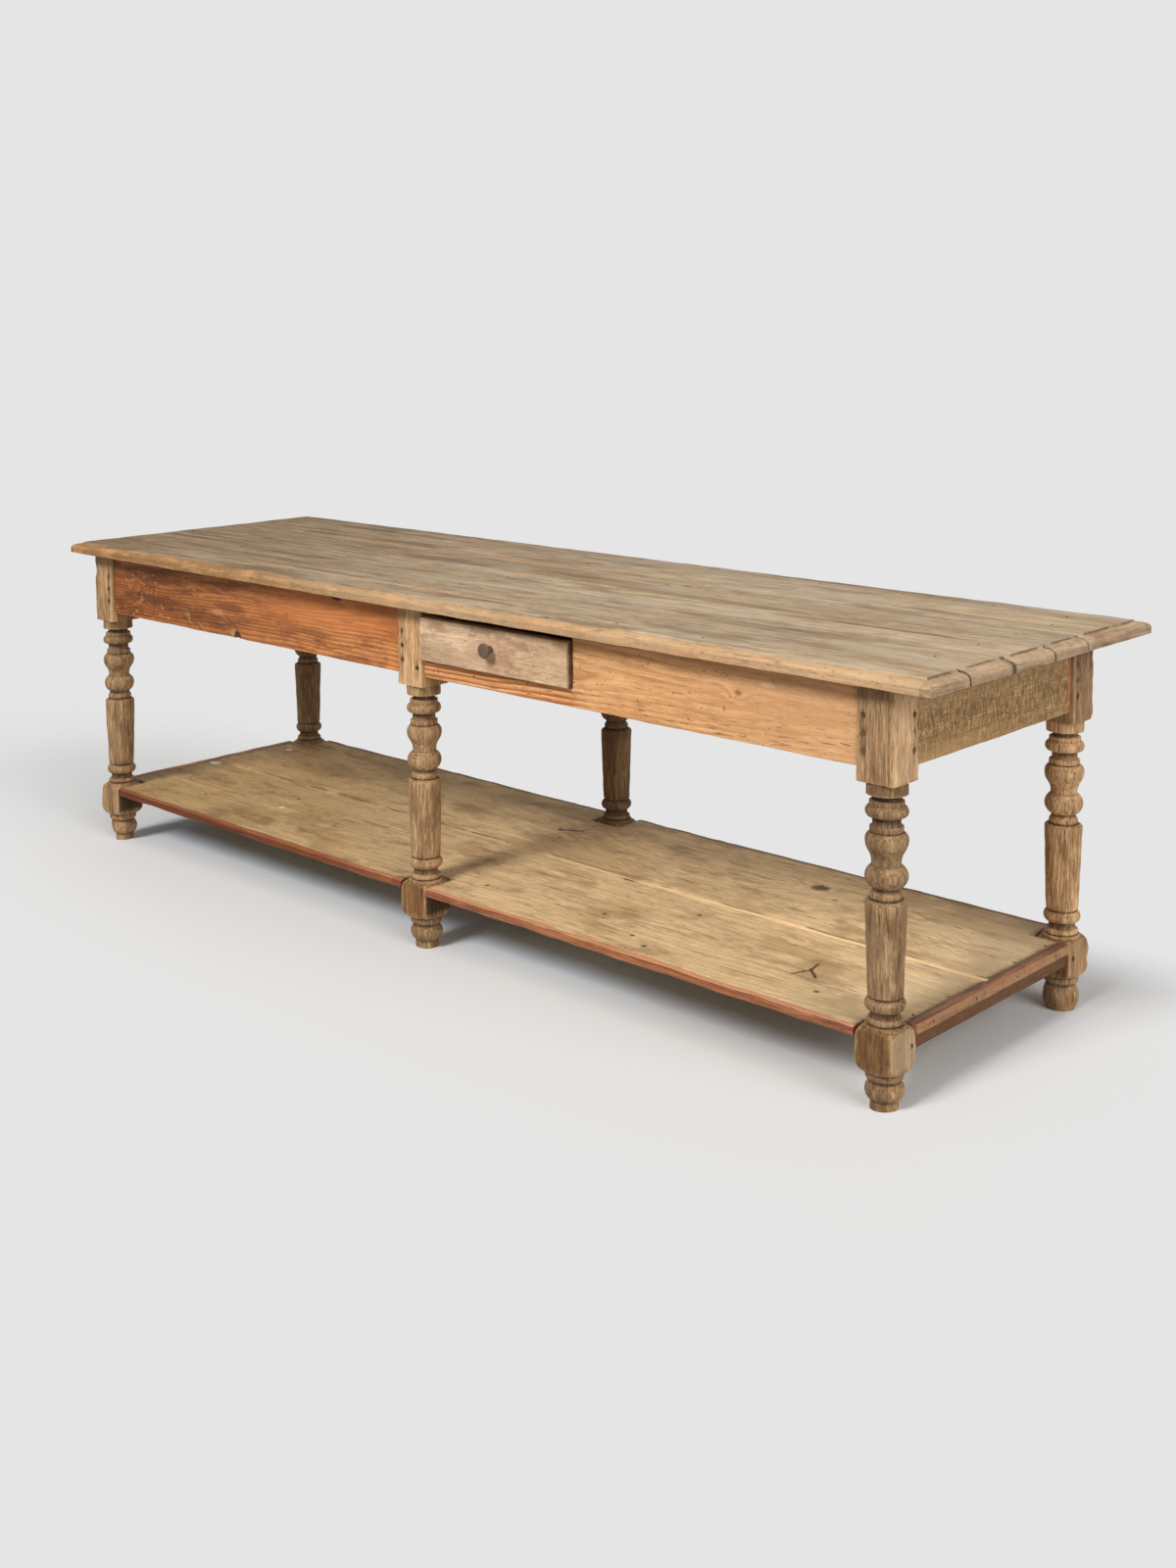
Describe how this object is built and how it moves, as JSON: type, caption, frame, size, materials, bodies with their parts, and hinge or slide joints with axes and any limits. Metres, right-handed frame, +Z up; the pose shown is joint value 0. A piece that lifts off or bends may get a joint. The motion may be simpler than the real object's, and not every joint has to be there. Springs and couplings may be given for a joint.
{
  "type": "drapers table",
  "caption": "Long rectangular work table with a moulded plank top on turned legs, a full-length low shelf and a small sliding drawer in the front apron.",
  "frame": {"origin": "on the floor under the middle of the top", "axes": "+X along the table's length, to the right of someone facing the drawer; -Y out of the drawer side; +Z up"},
  "size_m": [2.66, 0.794, 0.8],
  "materials": {
    "top_oak": "weathered, dry, grey-beige oak",
    "leg_oak": "dry turned oak with dark grain",
    "apron_red_pine": "red-brown rubbed pine",
    "apron_pine": "warm orange rubbed pine",
    "apron_oak": "rough-sawn weathered oak",
    "inner_pine": "unfinished pine",
    "stretcher_oak": "dark unfinished oak",
    "shelf_oak": "dry yellow-tan oak boards",
    "lipping_wood": "reddish brown strip",
    "peg_wood": "dark oak end grain",
    "drawer_front_wood": "pale pinkish bare wood",
    "drawer_wood": "unfinished pine",
    "knob_wood": "dark handled wood",
    "nail_iron": "dark oxidised iron"
  },
  "bodies": {
    "table": {"top_plank_1": "top_oak", "top_plank_2": "top_oak", "top_plank_3": "top_oak", "top_plank_4": "top_oak", "top_plank_5": "top_oak", "top_plank_6": "top_oak", "leg_front_left": "leg_oak", "leg_front_middle": "leg_oak", "leg_front_right": "leg_oak", "leg_back_left": "leg_oak", "leg_back_middle": "leg_oak", "leg_back_right": "leg_oak", "apron_front_left": "apron_red_pine", "apron_front_right": "apron_pine", "apron_back_left": "apron_red_pine", "apron_back_right": "apron_pine", "apron_end_left": "apron_oak", "apron_end_right": "apron_oak", "middle_rail": "inner_pine", "stretcher_left": "stretcher_oak", "stretcher_middle": "stretcher_oak", "stretcher_right": "stretcher_oak", "shelf_board_front": "shelf_oak", "shelf_board_back": "shelf_oak", "shelf_lipping_left": "lipping_wood", "shelf_lipping_right": "lipping_wood", "apron_pegs": "peg_wood", "stretcher_pegs": "peg_wood", "top_nails": "nail_iron", "shelf_nails": "nail_iron", "lipping_nails": "nail_iron", "drawer_runner_left": "inner_pine", "drawer_runner_right": "inner_pine", "drawer_stops": "inner_pine"},
    "drawer": {"drawer_front": "drawer_front_wood", "drawer_side_left": "drawer_wood", "drawer_side_right": "drawer_wood", "drawer_back": "drawer_wood", "drawer_bottom": "drawer_wood", "drawer_knob": "knob_wood"}
  },
  "joints": [
    {"name": "drawer_slide", "type": "slide", "parent": "table", "child": "drawer", "axis": [0, -1, 0], "range_m": [-0.014, 0.34]}
  ]
}
